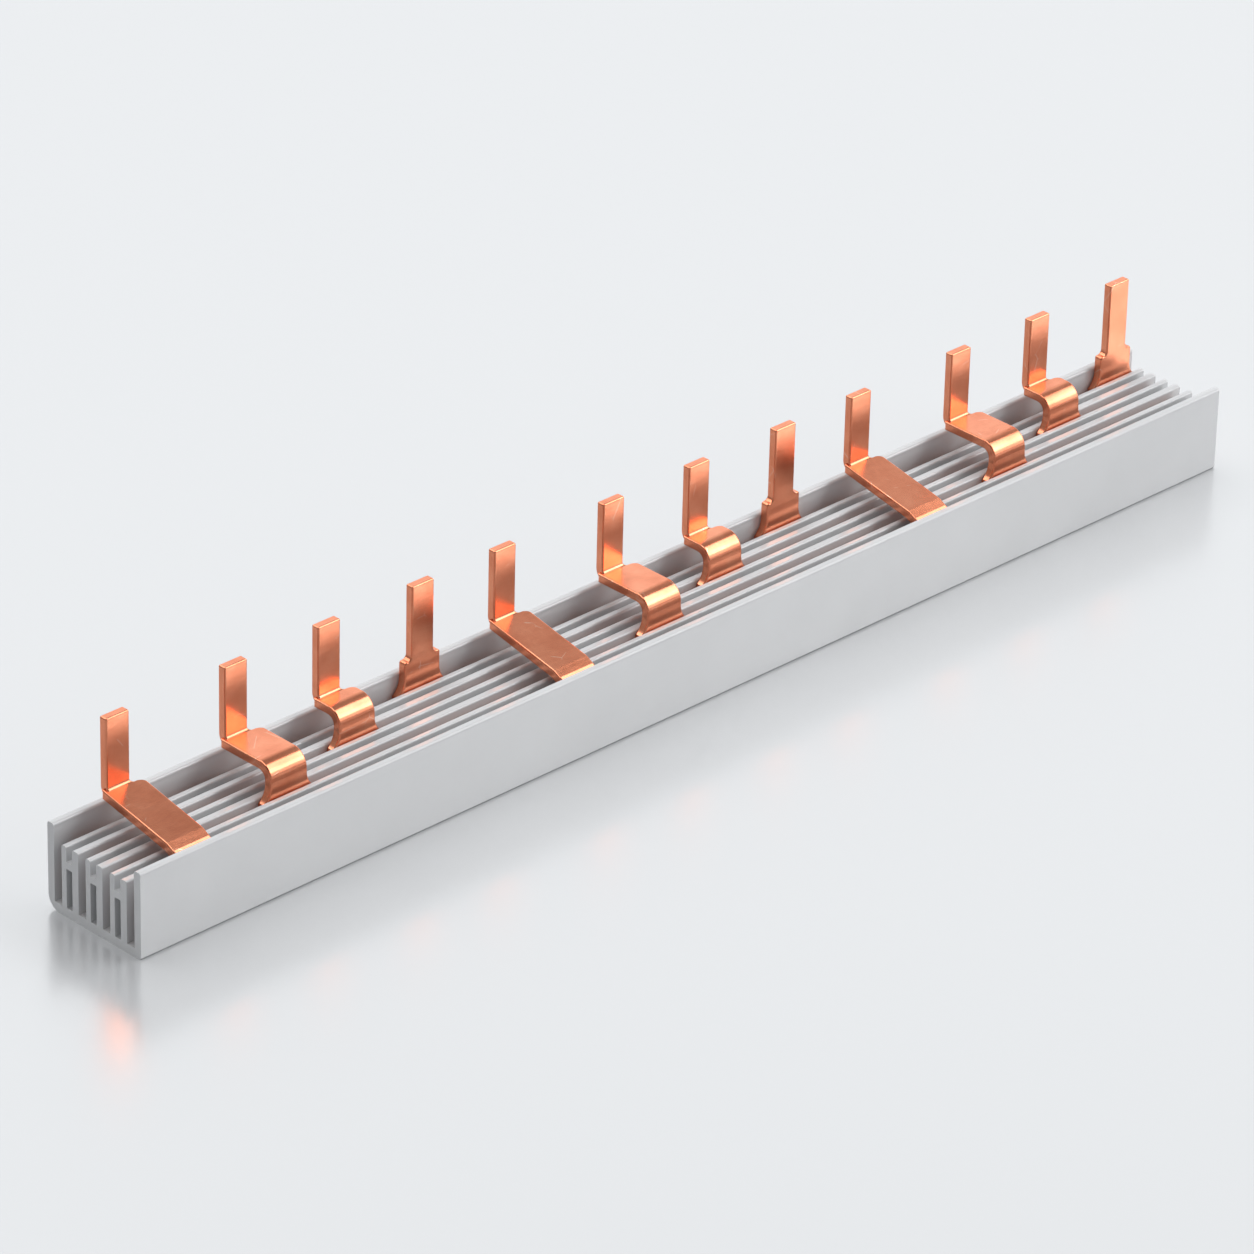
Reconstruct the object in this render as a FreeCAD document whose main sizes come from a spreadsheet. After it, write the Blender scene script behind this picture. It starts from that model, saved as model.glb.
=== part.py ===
import FreeCAD, Part
import math
import os
import re
import Sketcher

# Four-pole comb busbar.
# An extruded plastic trough holds four copper combs, each standing on edge in a channel of its own.
# Every comb is stamped and folded from one strip. Its tabs cross over the ribs to the back of the
# trough, so that the pins of all four poles stand in one row.
# X runs along the busbar, Y from the front wall to the back wall, Z up. Sizes are in millimetres.

POLES = 4

SIZES = {
    # The row of modules that the pins serve
    "module_pitch": 17.8,
    "tabs_per_pole": 3,
    "row_start": 11.9,
    # Trough section
    "side_wall": 1.3,
    "wide_rib": 1.25,
    "pocket_width": 1.2,
    "narrow_rib": 0.95,
    "rib_height": 10.9,
    "wall_rise": 2.45,
    "floor_thickness": 1.35,
    "groove_depth": 2.4,
    "bridge_thickness": 1.0,
    # Trough edges
    "back_corner_radius": 2.2,
    "front_corner_radius": 0.4,
    "wall_edge_radius": 0.4,
    "rib_edge_radius": 0.3,
    "slot_corner_radius": 0.15,
    # Copper strip and the bars on edge
    "sheet_thickness": 1.4,
    "side_clearance": 0.075,
    "bar_height": 7.2,
    "bar_start_gap": 3.0,
    "bar_end_gap": 1.0,
    # Feet, where a tab widens into its bar
    "foot_spread": 1.15,
    "foot_radius": 3.2,
    "foot_sink": 0.6,
    # Tabs
    "tab_width": 6.6,
    "tab_lift": 2.6,
    "bend_radius": 1.2,
    "crease_radius": 0.5,
    "heel_length": 1.0,
    "tab_corner_radius": 1.3,
    "left_corner_radius": 0.35,
    "lip_gap": 0.3,
    "lip_run": 2.3,
    "lip_angle": 27,
    "lip_bend_radius": 0.4,
    # Pins
    "pin_width": 4.1,
    "pin_rise": 13.6,
    "pin_inset": 0.45,
    "pin_root_radius": 0.7,
    "shoulder_lift": 2.0,
    "shoulder_radius": 0.7,
    "shoulder_corner_radius": 0.45,
    "edge_radius": 0.25,
    # How far each pole's pins stand to the +X side of the middle of their module
    "pin_offset_1": 0.5,
    "pin_offset_2": 0.8,
    "pin_offset_3": 1.6,
    "pin_offset_4": -1.7,
}

# Cuts that run past the solid they cut by this much
CLEAR = 1.0

doc = FreeCAD.newDocument("comb_busbar")
sheet = doc.addObject("Spreadsheet::Sheet", "Sizes")
for row, (name, value) in enumerate(SIZES.items(), start=1):
    sheet.set("A%d" % row, name)
    sheet.set("B%d" % row, str(value))
    sheet.setAlias("B%d" % row, name)
doc.recompute()


def size(text):
    # Write the sheet's name in front of every alias in a formula
    return re.sub("[a-z_0-9]+", lambda word: "Sizes." * (word.group() in SIZES) + word.group(), text)


def number(text):
    # The value of a formula of sizes
    value = sheet.evalExpression(size(text))
    return float(getattr(value, "Value", value))


# Formulas that several pieces share
CHANNEL = "(sheet_thickness + 2 * side_clearance)"
PERIOD = "(%s + wide_rib + pocket_width + narrow_rib)" % CHANNEL
LENGTH = "(%d * tabs_per_pole * module_pitch)" % POLES
WIDTH = "(2 * side_wall + %d * %s + %s)" % (POLES - 1, PERIOD, CHANNEL)
WALL_TOP = "(rib_height + wall_rise)"
BRIDGE_TOP = "(rib_height - groove_depth)"
PIN_TOP = "(%s + pin_rise)" % WALL_TOP


def origin_feature(body, role):
    return next(item for item in body.Origin.OriginFeatures if item.Role == role)


def new_body(label):
    # Each piece is drawn from the near front lower corner of the trough and then centred on the base
    body = doc.addObject("PartDesign::Body", label)
    body.Label = label
    body.setExpression("Placement.Base.x", size("-1 * " + LENGTH + " / 2"))
    body.setExpression("Placement.Base.y", size("-1 * " + WIDTH + " / 2"))
    return body


def closed_sketch(body, name, plane, height, outlines, tilt=0):
    # An outline is a list of corners (across, up, arc). The arc, where there is one, is the radius of
    # the curve from that corner to the next, with a minus sign where it turns clockwise
    sketch = body.newObject("Sketcher::SketchObject", name)
    sketch.AttachmentSupport = (origin_feature(body, plane), [""])
    sketch.MapMode = "FlatFace"
    sketch.AttachmentOffset.Rotation = FreeCAD.Rotation(FreeCAD.Vector(1, 0, 0), tilt)
    sketch.setExpression("AttachmentOffset.Base.z", size(height))
    for outline in outlines:
        first = sketch.GeometryCount
        places = [FreeCAD.Vector(number(corner[0]), number(corner[1]), 0) for corner in outline]
        for index, corner in enumerate(outline):
            start = places[index]
            end = places[(index + 1) % len(places)]
            if len(corner) == 2:
                sketch.addGeometry(Part.LineSegment(start, end))
            else:
                sketch.addGeometry(short_arc(start, end, corner[2]))
        for index, corner in enumerate(outline):
            piece = first + index
            following = first + (index + 1) % len(outline)
            backward = len(corner) == 3 and corner[2].startswith("-")
            start_point, end_point = (2, 1) if backward else (1, 2)
            next_corner = outline[(index + 1) % len(outline)]
            next_backward = len(next_corner) == 3 and next_corner[2].startswith("-")
            next_start = 2 if next_backward else 1
            sketch.addConstraint(Sketcher.Constraint("Coincident", piece, end_point, following, next_start))
            bind(sketch, "DistanceX", (piece, start_point), corner[0])
            bind(sketch, "DistanceY", (piece, start_point), corner[1])
            if len(corner) == 3:
                radius = corner[2].lstrip("-")
                constraint = sketch.addConstraint(Sketcher.Constraint("Radius", piece, number(radius)))
                sketch.setExpression("Constraints[%d]" % constraint, size(radius))
    return sketch


def short_arc(start, end, arc):
    # The shorter of the two arcs of this radius from one corner to the next
    clockwise = arc.startswith("-")
    radius = number(arc.lstrip("-"))
    chord = end - start
    across = FreeCAD.Vector(-chord.y, chord.x, 0).normalize()
    side = -1 if clockwise else 1
    reach = math.sqrt(max(radius ** 2 - chord.Length ** 2 / 4, 0))
    centre = (start + end) / 2 + across * side * reach
    middle = centre - across * side * radius
    return Part.Arc(start, middle, end)


def bind(sketch, kind, point, formula):
    piece, end = point
    constraint = sketch.addConstraint(Sketcher.Constraint(kind, -1, 1, piece, end, number(formula)))
    sketch.setExpression("Constraints[%d]" % constraint, size(formula))


def rectangle(left, bottom, right, top):
    return [(left, bottom), (right, bottom), (right, top), (left, top)]


def extrude(body, kind, name, sketch, length, backward=False, both_ways=False):
    feature = body.newObject("PartDesign::" + kind, name)
    feature.Profile = sketch
    feature.Reversed = backward
    feature.Midplane = both_ways
    feature.setExpression("Length", size(length))
    body.Tip = feature
    doc.recompute()
    return feature


def cut(body, name, sketch, length, backward=False, both_ways=False):
    # A pocket has to take something away, so its direction is proved by the volume
    before = body.Shape.Volume
    feature = extrude(body, "Pocket", name, sketch, length, backward, both_ways)
    if body.Shape.Volume > before - 1e-3:
        raise RuntimeError(name + " cuts nothing")
    return feature


def repeat(body, name, features, axis, spacing, count):
    # With no features named, the whole piece so far is repeated
    pattern = body.newObject("PartDesign::LinearPattern", name)
    if features:
        pattern.Originals = features
    else:
        pattern.TransformMode = "Whole shape"
    pattern.Direction = (origin_feature(body, axis), [""])
    pattern.Mode = "Spacing"
    pattern.setExpression("Offset", size(spacing))
    pattern.setExpression("Occurrences", size(count))
    body.Tip = pattern
    doc.recompute()
    return pattern


def round_edges(body, name, radius, wanted):
    # Round every edge of the piece so far that the test picks
    base = body.Tip
    names = ["Edge%d" % (index + 1) for index, edge in enumerate(base.Shape.Edges) if wanted(edge)]
    if not names:
        raise RuntimeError(name + " finds no edge")
    feature = body.newObject("PartDesign::Fillet", name)
    feature.Base = (base, names)
    feature.setExpression("Radius", size(radius))
    body.Tip = feature
    doc.recompute()
    return feature


def near(value, formula):
    return abs(value - number(formula)) < 1e-4


def at(edge, axis, formula):
    # True where the whole edge lies at one value of X, Y or Z
    box = edge.BoundBox
    low, high = {"x": (box.XMin, box.XMax), "y": (box.YMin, box.YMax), "z": (box.ZMin, box.ZMax)}[axis]
    return near(low, formula) and near(high, formula)


def along(edge, axis):
    # True for a straight edge that runs along X, Y or Z
    box = edge.BoundBox
    spans = {"x": box.XLength, "y": box.YLength, "z": box.ZLength}
    return all((span > 1e-4) == (key == axis) for key, span in spans.items())


def sharp(shape, edge):
    # True where the two faces beside the edge meet at an angle
    faces = shape.ancestorsOfType(edge, Part.Face)
    middle = edge.valueAt((edge.FirstParameter + edge.LastParameter) / 2)
    normals = [face.normalAt(*face.Surface.parameter(middle)) for face in faces]
    return len(normals) == 2 and normals[0].getAngle(normals[1]) > 0.2


def make_trough():
    body = new_body("insulating_profile")
    block = closed_sketch(body, "block_section", "YZ_Plane", "0",
                          [rectangle("0", "0", WIDTH, WALL_TOP)])
    extrude(body, "Pad", "block", block, LENGTH)
    top = closed_sketch(body, "top_section", "YZ_Plane", "0", [rectangle(
        "side_wall", "rib_height", WIDTH + " - side_wall", WALL_TOP + " + %s" % CLEAR)])
    cut(body, "top", top, LENGTH, backward=True)

    # One open channel for each pole, from the front wall to the back wall
    channel = closed_sketch(body, "channel_section", "YZ_Plane", "0", [rectangle(
        "side_wall", "floor_thickness", "side_wall + " + CHANNEL, "rib_height + %s" % CLEAR)])
    channel = cut(body, "channel", channel, LENGTH, backward=True)
    repeat(body, "channels", [channel], "Y_Axis", PERIOD, str(POLES))

    # Between two channels lie a closed air pocket and, above its bridge, an open groove
    left = "(side_wall + %s + wide_rib)" % CHANNEL
    right = "(%s + pocket_width)" % left
    pocket = closed_sketch(body, "pocket_section", "YZ_Plane", "0", [
        rectangle(left, "floor_thickness", right, BRIDGE_TOP + " - bridge_thickness"),
        rectangle(left, BRIDGE_TOP, right, "rib_height + %s" % CLEAR)])
    pocket = cut(body, "pocket_and_groove", pocket, LENGTH, backward=True)
    repeat(body, "pockets_and_grooves", [pocket], "Y_Axis", PERIOD, str(POLES - 1))

    def long_edge(edge):
        return along(edge, "x")

    def beside_pocket(edge):
        # The copper stands on the floor of its channel, so those corners stay square
        sides = ["(%s + %d * %s)" % (side, step, PERIOD) for side in (left, right) for step in range(POLES - 1)]
        return any(at(edge, "y", side) for side in sides)

    round_edges(body, "back_corner", "back_corner_radius",
                lambda edge: long_edge(edge) and at(edge, "z", "0") and at(edge, "y", WIDTH))
    round_edges(body, "front_corner", "front_corner_radius",
                lambda edge: long_edge(edge) and at(edge, "z", "0") and at(edge, "y", "0"))
    round_edges(body, "wall_tops", "wall_edge_radius",
                lambda edge: long_edge(edge) and at(edge, "z", WALL_TOP))
    round_edges(body, "rib_tops", "rib_edge_radius", lambda edge: long_edge(edge)
                and at(edge, "z", "rib_height") and not at(edge, "y", "side_wall")
                and not at(edge, "y", WIDTH + " - side_wall"))
    round_edges(body, "slot_corners", "slot_corner_radius", lambda edge: long_edge(edge) and (
        at(edge, "z", BRIDGE_TOP) or at(edge, "z", BRIDGE_TOP + " - bridge_thickness")
        or (at(edge, "z", "floor_thickness") and beside_pocket(edge))))
    return body


def make_comb(pole):
    # Pole 1 lies at the back, right under the pins. Pole 4 lies behind the front wall and has the
    # first pin of the row
    step = str(POLES - pole)
    body = new_body("copper_comb_%d" % pole)
    face = "(side_wall + %s * %s + side_clearance)" % (step, PERIOD)
    pin_face = "(side_wall + %d * %s + side_clearance)" % (POLES - 1, PERIOD)
    pin_middle = "(row_start + %s * module_pitch + pin_offset_%d)" % (step, pole)
    pin_left = "(%s - pin_width / 2)" % pin_middle
    pin_right = "(%s + pin_width / 2)" % pin_middle
    straight = pole == 1
    if straight:
        tab_left = "(%s - tab_width / 2)" % pin_middle
    else:
        tab_left = "(%s - pin_inset)" % pin_left
    tab_right = "(%s + tab_width)" % tab_left

    # The foot flares in a hollow curve into a corner that lies just under the tops of the ribs.
    # Under the front tabs, which bend sooner, the whole curve lies there
    flare = "sqrt(foot_radius ^ 2 - (foot_radius - foot_spread) ^ 2)"
    if pole == POLES:
        neck = "rib_height"
        corner = "(rib_height - %s)" % flare
    else:
        corner = "(rib_height - foot_sink)"
        neck = "(%s + %s)" % (corner, flare)
    foot_left = "(%s - foot_spread)" % tab_left
    foot_right = "(%s + foot_spread)" % tab_right
    foot = [(foot_left, "floor_thickness"), (foot_right, "floor_thickness"),
            (foot_right, corner, "-foot_radius"), (tab_right, neck),
            (tab_left, neck, "-foot_radius"), (foot_left, corner)]

    if straight:
        upright_tab(body, face, foot, corner, tab_left, tab_right, pin_left, pin_right)
    else:
        folded_tab(body, pole, face, pin_face, foot, corner, neck, tab_left, tab_right, pin_left, pin_right)

    # Each pole has a tab at every fourth module, and one bar joins its tabs
    repeat(body, "tabs", [], "X_Axis", "%d * module_pitch" % POLES, "tabs_per_pole")
    bar = closed_sketch(body, "bar_outline", "XZ_Plane", "-1 * " + face, [rectangle(
        "bar_start_gap", "floor_thickness", LENGTH + " - bar_end_gap", "floor_thickness + bar_height")])
    extrude(body, "Pad", "bar", bar, "sheet_thickness", backward=True)
    return body


def upright_tab(body, face, foot, corner, tab_left, tab_right, pin_left, pin_right):
    # A flat, shouldered tab with its pin standing in the middle
    shoulder = "(%s + shoulder_lift)" % WALL_TOP
    side = "((tab_width - pin_width) / 2)"
    hollow = "min(shoulder_radius; 0.6 * %s)" % side
    bevel = "min(shoulder_corner_radius; 0.35 * %s)" % side
    outline = foot[:4] + [
        (tab_right, shoulder + " - " + bevel, bevel),
        (tab_right + " - " + bevel, shoulder),
        (pin_right + " + " + hollow, shoulder, "-" + hollow),
        (pin_right, shoulder + " + " + hollow),
        (pin_right, PIN_TOP), (pin_left, PIN_TOP),
        (pin_left, shoulder + " + " + hollow, "-" + hollow),
        (pin_left + " - " + hollow, shoulder),
        (tab_left + " + " + bevel, shoulder, bevel),
        (tab_left, shoulder + " - " + bevel)] + foot[4:]
    sketch = closed_sketch(body, "tab_outline", "XZ_Plane", "-1 * " + face, [outline])
    extrude(body, "Pad", "tab", sketch, "sheet_thickness", backward=True)
    shape = body.Tip.Shape
    round_edges(body, "tab_edges", "min(edge_radius; 0.9 * %s)" % bevel, lambda edge: sharp(shape, edge)
                and edge.BoundBox.ZMin > number(corner) - 1e-4 and not along(edge, "y")
                or at(edge, "z", PIN_TOP))


def folded_tab(body, pole, face, pin_face, foot, corner, neck, tab_left, tab_right, pin_left, pin_right):
    top, under, crease, bend = fold_lines(pole, face, pin_face, neck)

    # First the pin with the crease at its root, and a short tail that the tab will cover. Its blank
    # is wider on the right, where the pin's side runs out into the tab in a hollow curve
    root = "min(pin_root_radius; 0.5 * (%s - %s))" % (tab_right, pin_right)
    root_right = "(%s + %s)" % (pin_right, root)
    outer_crease = "crease_radius + sheet_thickness"
    strip = [
        top(crease["start"] + " - tab_width / 4"), under(crease["start"] + " - tab_width / 4"),
        crease["under"] + (outer_crease,), (pin_face + " + sheet_thickness", crease["height"]),
        (pin_face + " + sheet_thickness", PIN_TOP), (pin_face, PIN_TOP),
        (pin_face, crease["height"], "-crease_radius"), crease["top"]]
    strip = closed_sketch(body, "pin_section", "YZ_Plane", pin_left, [strip])
    extrude(body, "Pad", "pin", strip, "%s - %s" % (root_right, pin_left))

    # The hollow curve is cut square to the corner between tab and pin, half way between the two
    height = "((%s + %s) / sqrt(2))" % crease["top"]
    outside = "%s + %s" % (root_right, CLEAR)
    above = "%s + %s" % (height, PIN_TOP)
    curve = [(pin_right, above), (pin_right, "%s + %s" % (height, root), root), (root_right, height),
             (outside, height), (outside, above)]
    curve = closed_sketch(body, "root_outline", "XZ_Plane", "0", [curve], tilt=-45)
    cut(body, "root", curve, "4 * " + PIN_TOP, both_ways=True)
    shape = body.Tip.Shape
    tail = crease["start"] + " - tab_width / 4"
    round_edges(body, "pin_edges", "edge_radius", lambda edge: sharp(shape, edge)
                and not at(edge, "y", tail) and not at(edge, "x", root_right))

    # Then the foot in its channel and the full width of the tab, up to where the crease starts
    foot = closed_sketch(body, "foot_outline", "XZ_Plane", "-1 * " + face, [foot])
    extrude(body, "Pad", "foot", foot, "sheet_thickness", backward=True)
    start = crease["start"]
    tab = closed_sketch(body, "tab_section", "YZ_Plane", tab_left, [bend + [under(start), top(start)]])
    extrude(body, "Pad", "tab", tab, "tab_width")

    # On the left it goes on past the crease as a small flat heel beside the pin
    heel_end = "(%s + heel_length)" % start
    heel = [under(start), under(heel_end), top(heel_end), top(start)]
    heel = closed_sketch(body, "heel_section", "YZ_Plane", tab_left, [heel])
    extrude(body, "Pad", "heel", heel, "pin_inset")
    shape = body.Tip.Shape

    def beside_foot(edge):
        box = edge.BoundBox
        return (box.ZMin > number(corner) - 1e-4 and box.ZMax < number(neck) + 1e-4
                and box.YMax < number(face) + number("sheet_thickness") + 1e-4 and not along(edge, "y"))

    round_edges(body, "tab_edges", "edge_radius", lambda edge: sharp(shape, edge)
                and not at(edge, "y", start) and not at(edge, "y", heel_end)
                and (at(edge, "x", tab_left) or at(edge, "x", tab_right) or beside_foot(edge)))

    # Seen from above, the two back corners are round
    flat = "(%s - %s)" % (start, crease["flat"])
    right_round = "min(tab_corner_radius; %s - %s; %s)" % (tab_right, root_right, flat)
    left_round = "min(left_corner_radius; pin_inset; %s)" % flat
    inside_right = "(%s - %s)" % (tab_right, right_round)
    inside_left = "(%s + %s)" % (tab_left, left_round)
    right = "(%s + %s)" % (tab_right, CLEAR)
    left = "(%s - %s)" % (tab_left, CLEAR)
    behind = "(%s + %s)" % (heel_end, CLEAR)
    corners = closed_sketch(body, "corner_outline", "XY_Plane", "0", [
        [(inside_right, start, "-" + right_round), (tab_right, "%s - %s" % (start, right_round)),
         (right, "%s - %s" % (start, right_round)), (right, behind), (inside_right, behind)],
        [(inside_left, heel_end, left_round), (tab_left, "%s - %s" % (heel_end, left_round)),
         (left, "%s - %s" % (heel_end, left_round)), (left, behind), (inside_left, behind)]])
    cut(body, "corners", corners, "2 * " + PIN_TOP, both_ways=True)


def fold_lines(pole, face, pin_face, neck):
    # The two faces of the strip where it lies over the ribs, as heights for a place along Y, with
    # the crease at the pin's root and the bend above the channel
    if pole == POLES:
        return sloped_fold(face, pin_face, neck)
    return level_fold(face, pin_face, neck)


def level_fold(face, pin_face, neck):
    # Up out of the channel, round a wide bend and level to the back
    height = "(%s + tab_lift)" % WALL_TOP
    outer = "(bend_radius + sheet_thickness)"

    def top(place):
        return (place, height)

    def under(place):
        return (place, height + " - sheet_thickness")

    start = "(%s - crease_radius)" % pin_face
    crease = {"start": start, "top": top(start), "under": under(start), "height": height + " + crease_radius",
              "flat": "(%s + %s)" % (face, outer)}
    bend = [top("%s + %s" % (face, outer)) + (outer,), (face, "%s - %s" % (height, outer)),
            (face, neck), (face + " + sheet_thickness", neck),
            (face + " + sheet_thickness", "%s - %s" % (height, outer), "-bend_radius"),
            under("%s + %s" % (face, outer))]
    return top, under, crease, bend


def sloped_fold(face, pin_face, neck):
    # Over the front channel the strip comes up behind the front wall as a short lip, and then
    # climbs gently to the back
    outer = "(lip_bend_radius + sheet_thickness)"
    lip_tangent = "(%s * tan(45 - lip_angle / 2))" % outer
    lip_base = "(rib_height + lip_gap)"
    lip_top = "(%s + %s)" % (lip_base, lip_tangent)
    crest = "(%s + lip_run)" % face
    crest_top = "(%s + lip_run * tan(lip_angle))" % lip_top
    back = "(%s + tab_lift)" % WALL_TOP
    slope = "(atan((%s - %s) / (%s - %s)) / (1 deg))" % (back, crest_top, pin_face, crest)

    def top(place):
        return (place, "(%s - (%s - (%s)) * tan(%s))" % (back, pin_face, place, slope))

    def under(place):
        return (place, "(%s - sheet_thickness / cos(%s))" % (top(place)[1], slope))

    reach = "(crease_radius * tan(45 - %s / 2))" % slope
    start = "(%s - %s * cos(%s))" % (pin_face, reach, slope)
    # Square across the strip from where the crease starts
    crease_under = ("(%s + sheet_thickness * sin(%s))" % (start, slope),
                    "(%s - sheet_thickness * cos(%s))" % (top(start)[1], slope))
    crease = {"start": start, "top": top(start), "under": crease_under,
              "height": "(%s + %s)" % (back, reach), "flat": crest}
    lip_end = ("(%s + %s * cos(lip_angle))" % (face, lip_tangent),
               "(%s + %s * sin(lip_angle))" % (lip_top, lip_tangent))
    # The underside turns at the crest on the line that halves the angle between the two slopes
    halfway = "((%s + lip_angle) / 2)" % slope
    depth = "(sheet_thickness / cos((lip_angle - %s) / 2))" % slope
    bend = [(crest, crest_top), lip_end + (outer,), (face, lip_base),
            (face, neck), (face + " + sheet_thickness", neck),
            (face + " + sheet_thickness", lip_base, "-lip_bend_radius"),
            (lip_end[0] + " + sheet_thickness * sin(lip_angle)",
             lip_end[1] + " - sheet_thickness * cos(lip_angle)"),
            (crest + " + %s * sin(%s)" % (depth, halfway), crest_top + " - %s * cos(%s)" % (depth, halfway))]
    return top, under, crease, bend


pieces = [make_trough()] + [make_comb(pole) for pole in range(1, POLES + 1)]
doc.recompute()

for item in doc.Objects:
    if "Invalid" in item.State or "Error" in item.State:
        raise RuntimeError(item.Name + " did not build")
for piece in pieces:
    if piece.Shape.isNull() or not piece.Shape.isValid():
        raise RuntimeError(piece.Label + " is not a valid solid")

os.makedirs("parts", exist_ok=True)
for piece in pieces:
    piece.Shape.exportStep("parts/%s.step" % piece.Label)
    box = piece.Shape.BoundBox
    print("%-20s volume %9.2f  X %8.2f %8.2f  Y %6.2f %6.2f  Z %6.2f %6.2f  solids %d" % (
        piece.Label, piece.Shape.Volume, box.XMin, box.XMax, box.YMin, box.YMax, box.ZMin, box.ZMax,
        len(piece.Shape.Solids)))
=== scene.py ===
import bpy
import math
from mathutils import Matrix, Vector

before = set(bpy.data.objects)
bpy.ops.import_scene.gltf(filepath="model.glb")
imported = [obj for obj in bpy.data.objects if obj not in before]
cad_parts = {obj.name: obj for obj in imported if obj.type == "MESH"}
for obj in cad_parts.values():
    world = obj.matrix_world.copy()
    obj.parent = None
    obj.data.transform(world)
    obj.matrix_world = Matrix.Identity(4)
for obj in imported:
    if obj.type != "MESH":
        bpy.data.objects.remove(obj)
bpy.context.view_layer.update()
print("frame loaded:", len(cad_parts), "nodes")


# Small helpers for node trees

def newMaterial(name):
    material = bpy.data.materials.new(name)
    material.use_nodes = True
    tree = material.node_tree
    tree.nodes.clear()
    output = tree.nodes.new("ShaderNodeOutputMaterial")
    shader = tree.nodes.new("ShaderNodeBsdfPrincipled")
    tree.links.new(shader.outputs["BSDF"], output.inputs["Surface"])
    return material, shader


def addNode(tree, kind, **values):
    node = tree.nodes.new(kind)
    for name, value in values.items():
        setattr(node, name, value)
    return node


def placeOn(tree, stretch=(1.0, 1.0, 1.0)):
    # Object coordinates. Stretched ones turn a noise into grain along one direction
    place = addNode(tree, "ShaderNodeTexCoord")
    mapping = addNode(tree, "ShaderNodeMapping")
    mapping.inputs["Scale"].default_value = stretch
    tree.links.new(place.outputs["Object"], mapping.inputs["Vector"])
    return mapping.outputs["Vector"]


def noiseAt(tree, place, scale, detail, roughness=0.55):
    noise = addNode(tree, "ShaderNodeTexNoise")
    noise.inputs["Scale"].default_value = scale
    noise.inputs["Detail"].default_value = detail
    noise.inputs["Roughness"].default_value = roughness
    tree.links.new(place, noise.inputs["Vector"])
    return noise.outputs["Fac"]


def spread(tree, value, fromRange, toRange, **values):
    node = addNode(tree, "ShaderNodeMapRange", **values)
    node.inputs["From Min"].default_value, node.inputs["From Max"].default_value = fromRange
    node.inputs["To Min"].default_value, node.inputs["To Max"].default_value = toRange
    tree.links.new(value, node.inputs["Value"])
    return node.outputs["Result"]


def ramp(tree, value, steps, colors):
    node = addNode(tree, "ShaderNodeValToRGB")
    elements = node.color_ramp.elements
    while len(elements) < len(steps):
        elements.new(0.5)
    for element, step, color in zip(elements, steps, colors):
        element.position = step
        element.color = (*color, 1.0)
    tree.links.new(value, node.inputs["Fac"])
    return node.outputs["Color"]


def calculate(tree, operation, first, second):
    node = addNode(tree, "ShaderNodeMath", operation=operation)
    for socket, value in zip(node.inputs, (first, second)):
        if isinstance(value, float):
            socket.default_value = value
        else:
            tree.links.new(value, socket)
    return node.outputs["Value"]


def bumpFrom(tree, shader, height, strength, depth):
    bump = addNode(tree, "ShaderNodeBump")
    bump.inputs["Strength"].default_value = strength
    bump.inputs["Distance"].default_value = depth
    tree.links.new(height, bump.inputs["Height"])
    tree.links.new(bump.outputs["Normal"], shader.inputs["Normal"])


# Rolled and stamped copper sheet. Lengths are in metres, and the grain runs along the bars

copperLook = {
    "darkColor": (0.80, 0.265, 0.142),
    "midColor": (0.88, 0.315, 0.175),
    "lightColor": (0.94, 0.368, 0.212),
    "mottle": {"scale": 260.0, "detail": 5.0, "roughness": 0.6},
    "mottleSteps": (0.3, 0.52, 0.72),
    "anisotropy": 0.3,
    "roughness": (0.19, 0.26),
    "streaks": {"scale": 1.0, "detail": 3.0, "roughness": 0.6},
    "streakStretch": (350.0, 4200.0, 4200.0),
    "streakShare": 0.8,  # the rest is fine grain
    "fineGrain": {"scale": 3800.0, "detail": 2.0},
    "grainRange": (0.3, 0.7),
    "grainBump": 0.006,
    "grainDepth": 0.00001,
}

scratchLook = {
    "color": (0.8, 0.6, 0.5),
    "strength": 0.6,
    "spacing": 0.005,
    "width": 0.012,  # as a share of the spacing
    "breaks": {"scale": 330.0, "detail": 1.0},
    "keptAbove": (0.58, 0.64),
}


def scratch(tree, place, sheetColor, look):
    # Thin lines between large cells, broken up so that only short bits of them are left
    cells = addNode(tree, "ShaderNodeTexVoronoi", feature="DISTANCE_TO_EDGE")
    cells.inputs["Scale"].default_value = 1.0 / look["spacing"]
    tree.links.new(place, cells.inputs["Vector"])
    lines = spread(tree, cells.outputs["Distance"], (0.0, look["width"]), (1.0, 0.0))
    bits = spread(tree, noiseAt(tree, place, **look["breaks"]), look["keptAbove"], (0.0, 1.0))
    amount = calculate(tree, "MULTIPLY", lines, bits)
    mix = addNode(tree, "ShaderNodeMix", data_type="RGBA", blend_type="SCREEN")
    tree.links.new(calculate(tree, "MULTIPLY", amount, look["strength"]), mix.inputs["Factor"])
    tree.links.new(sheetColor, mix.inputs["A"])
    mix.inputs["B"].default_value = (*look["color"], 1.0)
    return mix.outputs["Result"]


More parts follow.
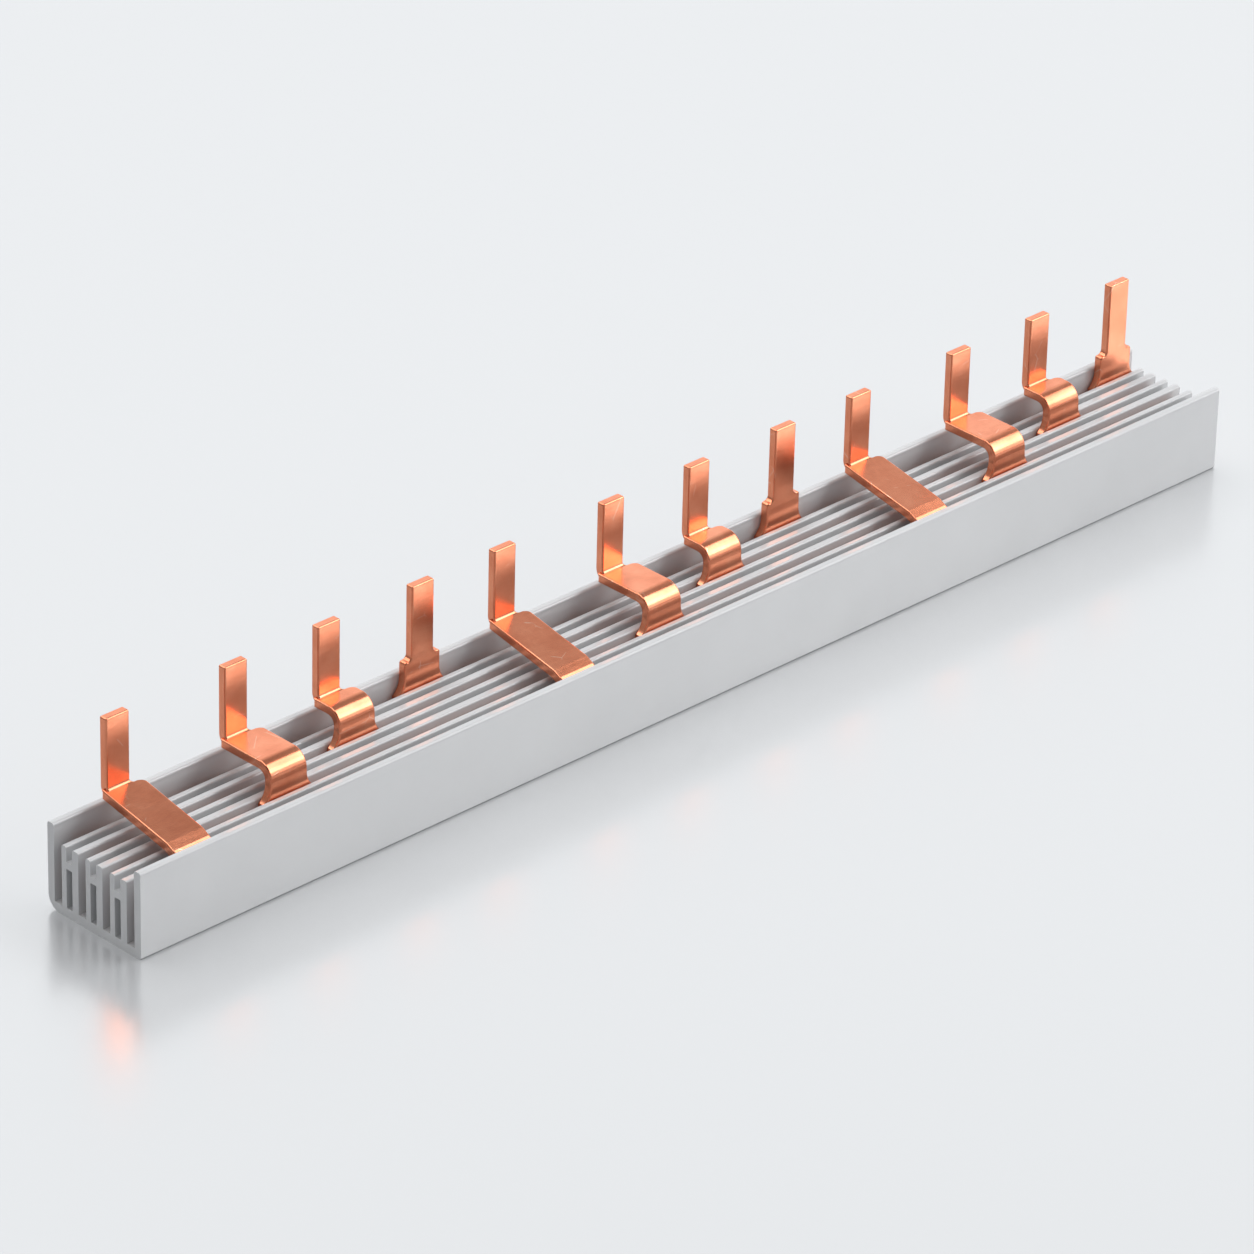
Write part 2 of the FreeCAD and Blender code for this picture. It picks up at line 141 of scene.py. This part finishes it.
def makeCopper(look, scratches):
    material, shader = newMaterial("rolledCopper")
    tree = material.node_tree
    shader.inputs["Metallic"].default_value = 1.0
    shader.inputs["Anisotropic"].default_value = look["anisotropy"]
    place = placeOn(tree)
    mottle = noiseAt(tree, place, **look["mottle"])
    sheetColor = ramp(tree, mottle, look["mottleSteps"],
                      (look["darkColor"], look["midColor"], look["lightColor"]))
    tree.links.new(scratch(tree, place, sheetColor, scratches), shader.inputs["Base Color"])
    streaks = noiseAt(tree, placeOn(tree, look["streakStretch"]), **look["streaks"])
    fine = noiseAt(tree, place, **look["fineGrain"])
    grain = calculate(tree, "ADD", calculate(tree, "MULTIPLY", streaks, look["streakShare"]),
                      calculate(tree, "MULTIPLY", fine, 1.0 - look["streakShare"]))
    tree.links.new(spread(tree, grain, look["grainRange"], look["roughness"]), shader.inputs["Roughness"])
    bumpFrom(tree, shader, grain, look["grainBump"], look["grainDepth"])
    return material


# Extruded grey plastic, with faint lines along its length from the die

plasticLook = {
    "darkColor": (0.625, 0.63, 0.64),
    "lightColor": (0.66, 0.665, 0.675),
    "clouds": {"scale": 60.0, "detail": 2.0},
    "cloudSteps": (0.3, 0.7),
    "specular": 0.9,
    "roughness": (0.17, 0.21),
    "dieLines": {"scale": 1.0, "detail": 2.0},
    "lineStretch": (18.0, 1500.0, 1500.0),
    "lineRange": (0.3, 0.7),
    "lineBump": 0.01,
    "lineDepth": 0.00001,
}


def makePlastic(look):
    material, shader = newMaterial("extrudedGreyPlastic")
    tree = material.node_tree
    shader.inputs["Specular IOR Level"].default_value = look["specular"]
    clouds = noiseAt(tree, placeOn(tree), **look["clouds"])
    wallColor = ramp(tree, clouds, look["cloudSteps"], (look["darkColor"], look["lightColor"]))
    tree.links.new(wallColor, shader.inputs["Base Color"])
    lines = noiseAt(tree, placeOn(tree, look["lineStretch"]), **look["dieLines"])
    tree.links.new(spread(tree, lines, look["lineRange"], look["roughness"]), shader.inputs["Roughness"])
    bumpFrom(tree, shader, lines, look["lineBump"], look["lineDepth"])
    return material


copper = makeCopper(copperLook, scratchLook)
plastic = makePlastic(plasticLook)
for name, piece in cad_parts.items():
    finish = plastic if name == "insulating_profile" else copper
    for slot in piece.material_slots:
        slot.material = finish
print("copper and plastic are on")


# A pale glossy sheet under the busbar

floorLook = {"color": (0.6, 0.61, 0.625), "roughness": 0.22, "ior": 4.5, "size": 6.0}


def makeFloor(look):
    half = look["size"] / 2
    corners = [(-half, -half, 0), (half, -half, 0), (half, half, 0), (-half, half, 0)]
    mesh = bpy.data.meshes.new("floor")
    mesh.from_pydata(corners, [], [(0, 1, 2, 3)])
    floor = bpy.data.objects.new("floor", mesh)
    bpy.context.scene.collection.objects.link(floor)
    material, shader = newMaterial("paleGlossySheet")
    shader.inputs["Base Color"].default_value = (*look["color"], 1.0)
    shader.inputs["Roughness"].default_value = look["roughness"]
    shader.inputs["IOR"].default_value = look["ior"]
    mesh.materials.append(material)


# Soft boxes, each in a direction and at a distance from the trough's middle

softBoxes = {
    "bendHighlight": {"direction": (0.618, -0.455, 0.64), "distance": 1.5, "size": (0.5, 1.25),
                      "radiance": 3.3},
    "leftEdge": {"direction": (-0.48, 0.62, 0.62), "distance": 1.6, "size": (0.3, 0.3), "radiance": 3.2},
    "overhead": {"direction": (-0.05, 0.3, 1.0), "distance": 1.6, "size": (1.3, 1.9), "radiance": 2.1},
    "lowFront": {"direction": (0.63, -0.69, 0.36), "distance": 1.8, "size": (1.3, 1.0), "radiance": 0.9},
}


def makeSoftBox(name, direction, distance, size, radiance):
    # The box faces the trough. Its power follows from how bright its face should look
    data = bpy.data.lights.new(name, "AREA")
    data.shape = "RECTANGLE"
    data.size, data.size_y = size
    data.energy = radiance * math.pi * size[0] * size[1]
    box = bpy.data.objects.new(name, data)
    bpy.context.scene.collection.objects.link(box)
    outward = Vector(direction).normalized()
    along = Vector((1.0, 0.0, 0.0))
    across = (along - outward * outward.dot(along)).normalized()
    turn = Matrix((across, outward.cross(across), outward)).transposed().to_4x4()
    box.matrix_world = Matrix.Translation(outward * distance) @ turn


# The room is bright low down behind the busbar, darker half way up and on the other sides.
# A height is the upward part of a direction of length 1. A direction whose part along brightSide
# is brightFrom or more sees the full level, and one that points away from it sees farSide of it

roomLook = {
    "color": (0.96, 0.98, 1.0),
    "heights": (0.0, 0.6, 0.69, 0.84, 0.95),
    "levels": (1.2, 1.2, 0.33, 0.33, 0.8),
    "brightSide": (0.92, 0.39, 0.0),
    "brightFrom": 0.7,
    "farSide": 0.28,
}


def makeRoom(look):
    world = bpy.data.worlds.new("softRoom")
    world.use_nodes = True
    tree = world.node_tree
    background = tree.nodes["Background"]
    place = addNode(tree, "ShaderNodeTexCoord")
    split = addNode(tree, "ShaderNodeSeparateXYZ")
    tree.links.new(place.outputs["Generated"], split.inputs["Vector"])
    colors = [tuple(level * part for part in look["color"]) for level in look["levels"]]
    tree.links.new(ramp(tree, split.outputs["Z"], look["heights"], colors), background.inputs["Color"])
    facing = addNode(tree, "ShaderNodeVectorMath", operation="DOT_PRODUCT")
    facing.inputs[1].default_value = look["brightSide"]
    tree.links.new(place.outputs["Generated"], facing.inputs[0])
    side = spread(tree, facing.outputs["Value"], (0.0, look["brightFrom"]), (look["farSide"], 1.0),
                  interpolation_type="SMOOTHSTEP")
    tree.links.new(side, background.inputs["Strength"])
    bpy.context.scene.world = world


makeFloor(floorLook)
for name, softBox in softBoxes.items():
    makeSoftBox(name, **softBox)
makeRoom(roomLook)
bpy.context.scene.view_settings.view_transform = "Standard"
print("floor, lights and room are in")


# The photo was taken from far away with a long lens. The offset is how far the trough's middle
# lies from the picture's middle, across and down, at that distance

photoView = {
    "azimuth": -44.82,
    "elevation": 28.68,
    "roll": 1.46,
    "distance": 1.0504,
    "middle": (0.0, 0.0, 0.0066),
    "offset": (0.00553, 0.00102),
    "photoPixels": 1254.0,
    "focalPixels": 7376.0,
    "sensorWidth": 36.0,
    "clip": (0.05, 20.0),
}


def makeCamera(view):
    azimuth, elevation, roll = (math.radians(view[key]) for key in ("azimuth", "elevation", "roll"))
    back = Vector((math.sin(azimuth) * math.cos(elevation), -math.cos(azimuth) * math.cos(elevation),
                   math.sin(elevation)))
    levelRight = (-back).cross(Vector((0, 0, 1))).normalized()
    levelUp = levelRight.cross(-back)
    right = levelRight * math.cos(roll) + levelUp * math.sin(roll)
    up = levelUp * math.cos(roll) - levelRight * math.sin(roll)
    across, down = view["offset"]
    place = Vector(view["middle"]) - right * across + up * down + back * view["distance"]
    data = bpy.data.cameras.new("camera")
    data.sensor_width = view["sensorWidth"]
    data.lens = view["sensorWidth"] * view["focalPixels"] / view["photoPixels"]
    data.clip_start, data.clip_end = view["clip"]
    camera = bpy.data.objects.new("camera", data)
    bpy.context.scene.collection.objects.link(camera)
    turn = Matrix((right, up, back)).transposed().to_4x4()
    camera.matrix_world = Matrix.Translation(place) @ turn
    bpy.context.scene.camera = camera


makeCamera(photoView)
print("camera set")
